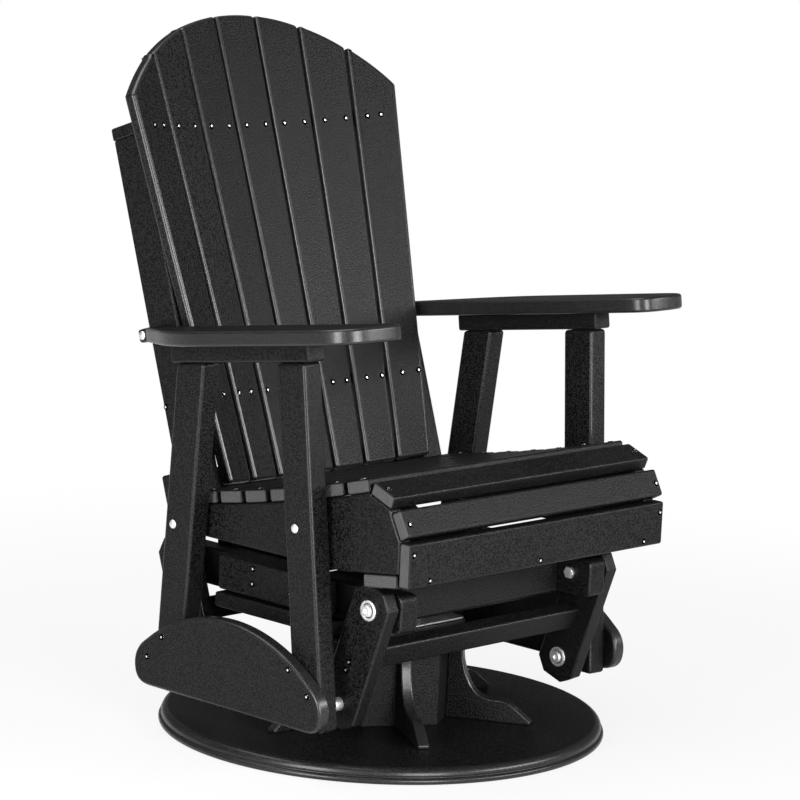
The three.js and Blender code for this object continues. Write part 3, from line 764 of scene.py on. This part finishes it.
# %% Screws of the back
BACK_FOOT = np.array([0, 169.5, 421.5])
sitter = np.array([0, -np.cos(RECLINE), np.sin(RECLINE)])
upper_row = {0: (-22.4, 22.4), 1: (65.5, 109.8), 2: (153.4, 197.6), 3: (240.4, 267.0)}
lower_row = {0: (-15.5, 15.5), 1: (63.2, 94.2), 2: (138.3, 170.4), 3: (213.0, 245.0)}
rows = []
for row, up in ((upper_row, 590.4), (lower_row, 134.4)):
    for number, pair in row.items():
        for way in (1, -1) if number else (1,):
            starts = MM * np.array([BACK_FOOT + up * back_up + [way * x, 0, 0] for x in pair])
            rows.append(onto(f"back_slat_{4 + way * number}", starts, sitter))
put_screws("back_screws", rows, "seat_frame")

# %% Screws of the seat, the skirts and the side plates
OUTSIDE = 400  # a place beside or before the whole chair, from where lines are dropped
rows = []
for i in range(1, 10):
    node = f"seat_slat_{i}"
    ends = [boards[node]["centre"] + [x * MM, 0, 0] for x in (-295, 295)]
    rows.append(onto(node, ends, (0, -0.2, 1) if i < 9 else (0, -1, 0.3)))
apron_places = [(-295, 389.5), (295, 389.5), (-257, 344.6), (0, 344.6), (257, 344.6)]
rows.append(onto("apron", MM * np.array([[x, -OUTSIDE, z] for x, z in apron_places]), (0, -1, 0)))


def from_side(node, way, places):
    """Lines dropped onto a board from places (y, z) seen from the side of the chair."""
    return onto(node, MM * np.array([[way * OUTSIDE, y, z] for y, z in places]), (way, 0, 0))


skirt_places = [(151, 173), (186, 133), (-147, 179), (-190, 144)]
rows += [from_side(f"skirt_{side}", way, skirt_places) for side, way in SIDES]
put_screws("seat_screws", rows, "seat_frame", radius=4.9 * MM)
plate_places = [(y, z) for y in (-44, 44) for z in (269, 294)]
rows = [from_side(f"side_plate_{side}", way, plate_places) for side, way in SIDES]
put_screws("side_plate_screws", rows, "turntable")
for end, along in ENDS:
    arm_places = [(along * y, z) for y, z in ((188.3, 186.5), (182.4, 172.2))]
    rows = [from_side(f"swing_arm_{end}_{side}", way, arm_places) for side, way in SIDES]
    put_screws(f"stretcher_screws_{end}", rows, f"{end}_swing")
stile_place = np.array([279.8, 256.8, 531]) * MM
rows = [([stile_place * [way, 1, 1]], [[way, 0.0, 0.0]]) for _, way in SIDES]
put_screws("stile_screws", rows, "seat_frame")

# %% [markdown]
# Carriage bolts tie the legs to the seat sides: a shallow steel mushroom on the outer face
# of each leg. The pivots are bigger: a bright race pressed into the arm, and a bolt with a
# round head in the middle of it. All of them are turned along X from one list of profiles.


# %% Bolts along X
def put_turned(name, profile, places, ways, body, steps=32):
    """The profile turned about X at each place, pointing to -X or +X as the way says."""
    points, normals, quads = turned(profile, steps)
    points, normals, quads, triangles = close_poles(points, normals, quads)
    places, ways = np.asarray(places, float), np.asarray(ways, float)
    zero, one = np.zeros(len(ways)), np.ones(len(ways))
    basis = np.stack([np.stack([zero, ways, zero], 1), np.stack([zero, zero, one], 1),
                      np.stack([ways, zero, zero], 1)], 1)
    world = places[:, None] + np.einsum("pi,nij->npj", points, basis)
    facing = np.einsum("pi,nij->npj", normals, basis)
    offset = (len(points) * np.arange(len(places)))[:, None, None]
    quads, triangles = quads[None] + offset, triangles[None] + offset
    return put_piece(name, world.reshape(-1, 3), quads.reshape(-1, 4), triangles.reshape(-1, 3),
                     facing.reshape(-1, 3), stainless, body)


BEVEL = 0.2 * MM


def mushroom(radius, height, sunk):
    """Profile of a carriage bolt head: a short neck in the board and a shallow dome."""
    turn = np.linspace(0, np.pi / 2, 9)[:, None]
    dome = np.concatenate([radius * np.cos(turn), height * np.sin(turn)], 1)
    neck = [[0, -sunk], [radius * 0.98, -sunk], [radius, -sunk + BEVEL]]
    return np.concatenate([neck, dome[:-1], [[0, height]]])


bolt_places = {"rear": (154, 359), "front": (-131, 402)}
places, ways = [], []
for side, way in SIDES:
    for end, place in bolt_places.items():
        places.append(from_side(f"leg_{end}_{side}", way, [place])[0][0])
        ways.append(way)
bar = boards["arm_bar"]
for way in (-1, 1):
    places.append(bar["centre"] + [way * bar["half"][0], 0, 0])
    ways.append(way)
put_turned("leg_and_bar_bolts", mushroom(7.5 * MM, 3.2 * MM, 1.5 * MM), places, ways, "seat_frame")
print("leg bolts at x", round(places[0][0], 4))

# %% [markdown]
# An upper pivot is a bolt through the rail and the arm, with a collar between them, a nut
# on the inner face of the rail and a head on the outer face of the arm. The heads are
# button heads with a shallow socket. A nut is turned like the rest, but in six steps, which
# gives it six sides.

# %% Upper pivots
ARM_INNER, ARM_OUTER = 250 * MM, 275 * MM
RAIL_INNER, RAIL_OUTER = 207 * MM, 245 * MM
SHANK, COLLAR, HEAD, HEAD_TALL = 4.9 * MM, 11 * MM, 10.5 * MM, 6.8 * MM
LIFT = 0.4 * MM  # gap that keeps a turned part off the board beside it


def bolt_head(radius, height, sunk):
    """Profile of a button head with a shallow socket in the middle."""
    bend = 0.45 * height
    shoulder = arc((radius - bend, height - bend), bend, 0, 90, 6)
    socket = [[0.45 * radius, height], [0.40 * radius, height - BEVEL],
              [0.36 * radius, 0.45 * height], [0, 0.40 * height]]
    return np.concatenate([[[0, -sunk], [radius, -sunk]], shoulder, socket])


def rod(radius, length):
    """Profile of a plain round bar."""
    return [[0, 0], [radius, 0], [radius, BEVEL], [radius, length], [0, length]]


def at_pivots(x, pivot, ends=(-1, 1)):
    """Places at a pivot of the front and rear arms, x from the middle plane on both sides."""
    return [(way * x, end * pivot[0], pivot[1]) for way in (-1, 1) for end in ends]


outwards, inwards = np.array([-1, -1, 1, 1]), np.array([1, 1, -1, -1])
put_turned("upper_pivot_heads", bolt_head(HEAD, HEAD_TALL, -LIFT),
           at_pivots(ARM_OUTER, PIVOT_UP), outwards, "turntable")
put_turned("upper_pivot_shanks", rod(SHANK, 68 * MM),
           at_pivots(RAIL_INNER + 1 * MM, PIVOT_UP), outwards, "turntable", steps=16)
put_turned("upper_pivot_collars", rod(COLLAR, 5 * MM),
           at_pivots(RAIL_OUTER - 0.3 * MM, PIVOT_UP), outwards, "turntable")
nut = np.array([[0, 0], [9.5, 0], [10.5, 1], [10.5, 6], [9.5, 7], [0, 7]]) * MM
put_turned("upper_pivot_nuts", nut, at_pivots(RAIL_INNER + LIFT / 2, PIVOT_UP), inwards,
           "turntable", steps=6)
print("front upper pivot:", np.round(at_pivots(ARM_OUTER, PIVOT_UP)[2], 4))

# %% [markdown]
# A lower pivot runs from a spacer beside the leg to a head on the inner face of the arm.
# The lower heads ride on the arms and their shanks on the seat, so each head stays in the
# middle of its race. At the rear the shank shifts in its head by up to 2.75 mm, and the
# head hides that. The races are bright rings pressed into both faces of each arm.


# %% Lower pivots and races
def race(outer, inner, height):
    """Profile of a pressed ring: up outside, over a rounded lip and down inside."""
    low, flattening = -0.6 * MM, 0.4
    lip = (outer - inner) / 2
    level = height - flattening * lip
    over = arc(((outer + inner) / 2, level), lip, 0, 180, 9)
    over[:, 1] = level + flattening * (over[:, 1] - level)
    return np.concatenate([[[outer, low]], over, [[inner, low]], [[outer, low]]])


put_turned("lower_pivot_spacers", rod(COLLAR, 30 * MM),
           at_pivots(ARM_OUTER + LIFT, PIVOT_LOW), outwards, "seat_frame")
put_turned("lower_pivot_shanks", rod(SHANK, 27 * MM),
           at_pivots(ARM_INNER - 1 * MM, PIVOT_LOW), outwards, "seat_frame", steps=16)
for end, along in ENDS:
    put_turned(f"{end}_lower_heads", bolt_head(HEAD, HEAD_TALL, 0.0),
               at_pivots(ARM_INNER - 0.6 * MM, PIVOT_LOW, (along,)), [1, -1], f"{end}_swing")
    upper = at_pivots(ARM_OUTER, PIVOT_UP, (along,))
    lower = at_pivots(ARM_INNER, PIVOT_LOW, (along,))
    faces = [upper[0], lower[0], upper[1], lower[1]]
    put_turned(f"{end}_arm_races", race(17 * MM, 12 * MM, 2.2 * MM), faces, [-1, 1, 1, -1],
               f"{end}_swing")
print("pivot hardware placed")

# %% [markdown]
# The swivel is two square steel plates with a ball race between them. The plates are flat
# solids like the boards, with a round hole, and each half of the race is a turned ring.

# %% Swivel
SHEET_HALF = 1.5 * MM
SHEET_HOLE = 45 * MM
ring_profile = np.array([[68, 2.5], [67, 9.5], [65, 11.5], [62, 12.2], [59, 11.5], [57, 9.5],
                         [56, 2.5], [68, 2.5]]) * MM
for half_name, body, way in (("lower", "base", 1), ("upper", "turntable", -1)):
    node = f"swivel_{half_name}_plate"
    low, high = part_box(node)
    z = low.z if way > 0 else high.z
    loops = [high.x * SQUARE, circle((0, 0), SHEET_HOLE, 48)]
    radii = [(0.8 * MM, 8 * MM), (0.4 * MM, 1 * MM)]
    points, normals, _, quads, triangles = flat_solid(loops, radii, SHEET_HALF)
    points[:, 2] += z + way * SHEET_HALF
    plate = put_piece(node + "_sheet", points, quads, triangles, normals, plated, body)
    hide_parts(node)
    points, normals, quads = turned(ring_profile, 72)
    points[:, 2] = z + way * points[:, 2]
    normals[:, 2] *= way
    quads = quads if way > 0 else quads[:, ::-1]
    put_piece(f"swivel_{half_name}_race", points, quads, [], normals, plated, body)
print("swivel plates done")

# %% [markdown]
# The chair stands in a plain pale studio, and the camera is where the photograph was taken
# from. Its lens is long, so parallel boards stay nearly parallel in the picture.

# %% Camera
PICTURE = 800  # pixels
FOCAL = 3487.6  # focal length in pixels of that picture
SENSOR = 36.0
eye = np.array([-4.1252, -3.9643, 1.5320])
heading, down_tilt, roll = np.radians([46.222, 9.681, 2.536])
forward = np.array([np.sin(heading), np.cos(heading), 0])
gaze = np.cos(down_tilt) * forward - [0, 0, np.sin(down_tilt)]
level = np.array([np.cos(heading), -np.sin(heading), 0])
below = np.cross(gaze, level)
turn = np.eye(4)
turn[:3, 0] = np.cos(roll) * level - np.sin(roll) * below
turn[:3, 1] = -np.sin(roll) * level - np.cos(roll) * below
turn[:3, 2] = -gaze
turn[:3, 3] = eye
camera = bpy.data.objects.new("camera", bpy.data.cameras.new("camera"))
camera.data.sensor_width = SENSOR
camera.data.lens = SENSOR * FOCAL / PICTURE
camera.data.clip_start, camera.data.clip_end = 0.1, 200
camera.matrix_world = Matrix(turn)
bpy.context.scene.collection.objects.link(camera)
bpy.context.scene.camera = camera
print("lens", round(camera.data.lens, 1), "mm")

# %% [markdown]
# The floor has to be white to the camera and still carry the shadow of the chair. Its
# finish is a mix of shaded paper and a white glow: far off the glow hides the paper, and
# near the chair a share of the paper shows. In reflections the glow is weaker, which keeps
# the black boards black.

# %% Floor
MIRRORED = 0.36  # share of white that the floor has in reflections
NEAR_WHITE = 0.84  # share of white close to the chair, where its shadow shows
NEAR, FAR = 0.8, 2.2  # metres from the middle between which the shadow fades to white
SPAN = 40.0
SINK = 0.3 * MM
floor_finish = Finish("pale_floor", Roughness=0.9, IOR=1.2)
at = floor_finish.node("ShaderNodeTexCoord").outputs["Object"]
paper = floor_finish.noise(at, 30.0, 3.0)
floor_finish.feed(Base_Color=floor_finish.mix(paper, (0.70, 0.70, 0.70, 1), (0.74, 0.74, 0.74, 1)))
seen = floor_finish.node("ShaderNodeLightPath").outputs
white = {"Color": (1, 1, 1, 1), "Strength": 1.0}
glow = floor_finish.node("ShaderNodeEmission", None, white).outputs[0]
in_mirrors = MIRRORED * Field(floor_finish, seen["Is Glossy Ray"])
looked_at = floor_finish.math("MAXIMUM", seen["Is Camera Ray"], in_mirrors)
from_chair = floor_finish.value("ShaderNodeVectorMath", {"operation": "LENGTH"}, {0: at}, "Value")
far_off = floor_finish.band(from_chair, NEAR, FAR)
share = looked_at * (NEAR_WHITE + (1 - NEAR_WHITE) * far_off)
blend = {0: share, 1: floor_finish.shader.outputs[0], 2: glow}
blend = floor_finish.node("ShaderNodeMixShader", None, blend).outputs[0]
floor_finish.link(floor_finish.tree.nodes["Material Output"].inputs["Surface"], blend)
floor_points = np.concatenate([SPAN * SQUARE, np.full((4, 1), -SINK)], 1)
floor_mesh = bpy.data.meshes.new("floor")
floor_mesh.from_pydata(floor_points.tolist(), [], [[0, 1, 2, 3]])
floor_mesh.materials.append(floor_finish.material)
floor = bpy.data.objects.new("floor", floor_mesh)
bpy.context.scene.collection.objects.link(floor)
print("floor:", 2 * SPAN, "m square")

# %% [markdown]
# The world is white to the camera too. In reflections it is paler below the horizon than
# above, and the same dim light comes from all sides, so no shadow is quite black.

# %% World
AMBIENT = 0.12
world = bpy.data.worlds.new("studio")
bpy.context.scene.world = world
world.use_nodes = True
studio = Wiring(world.node_tree)
path = studio.node("ShaderNodeLightPath").outputs
direction = studio.node("ShaderNodeTexCoord").outputs["Generated"]
height = studio.node("ShaderNodeSeparateXYZ", None, {0: direction}).outputs["Z"]
wall = studio.value("ShaderNodeMapRange", {"interpolation_type": "SMOOTHSTEP"}, {
    "Value": height, "From Min": 0.0, "From Max": 0.05, "To Min": 0.4, "To Max": 0.02})
straight = studio.math("MAXIMUM", path["Is Camera Ray"], path["Is Transmission Ray"])
shown = studio.math("MAXIMUM", straight, wall * Field(studio, path["Is Glossy Ray"]))
background = studio.tree.nodes["Background"].inputs
studio.link(background["Strength"], studio.math("MAXIMUM", shown, AMBIENT))
background["Color"].default_value = (1, 1, 1, 1)
print("world nodes:", len(studio.tree.nodes))

# %% [markdown]
# The lamps are large and soft, so the black boards are drawn by broad reflections along
# their rounded edges. The two at the front have a narrow spread, so they light little
# beside what they are aimed at.


# %% Lamps
def put_lamp(name, place, aim, width, height, power, spread=180):
    """Rectangular soft lamp at a place, looking at the aim, with its spread in degrees."""
    lamp = bpy.data.objects.new(name, bpy.data.lights.new(name, "AREA"))
    lamp.data.shape = "RECTANGLE"
    lamp.data.size, lamp.data.size_y = width, height
    lamp.data.energy = power
    lamp.data.spread = np.radians(spread)
    aimed = (Vector(aim) - Vector(place)).to_track_quat("-Z", "Y")
    lamp.matrix_world = Matrix.Translation(place) @ aimed.to_matrix().to_4x4()
    bpy.context.scene.collection.objects.link(lamp)


put_lamp("left_box", (-3.35, -0.6, 1.05), (0, 0, 0.6), 1.2, 2.0, 115)
put_lamp("front_box", (-1.4, -3.15, 1.1), (0, 0, 0.8), 1.2, 2.0, 26, 80)
put_lamp("right_box", (1.7, -3.3, 1.6), (0, 0, 0.8), 3.2, 0.8, 27, 70)
put_lamp("top_box", (-0.9, 0.8, 3.5), (-0.3, 0.2, 0.0), 2.6, 2.6, 80)
bpy.context.scene.view_settings.view_transform = "Standard"
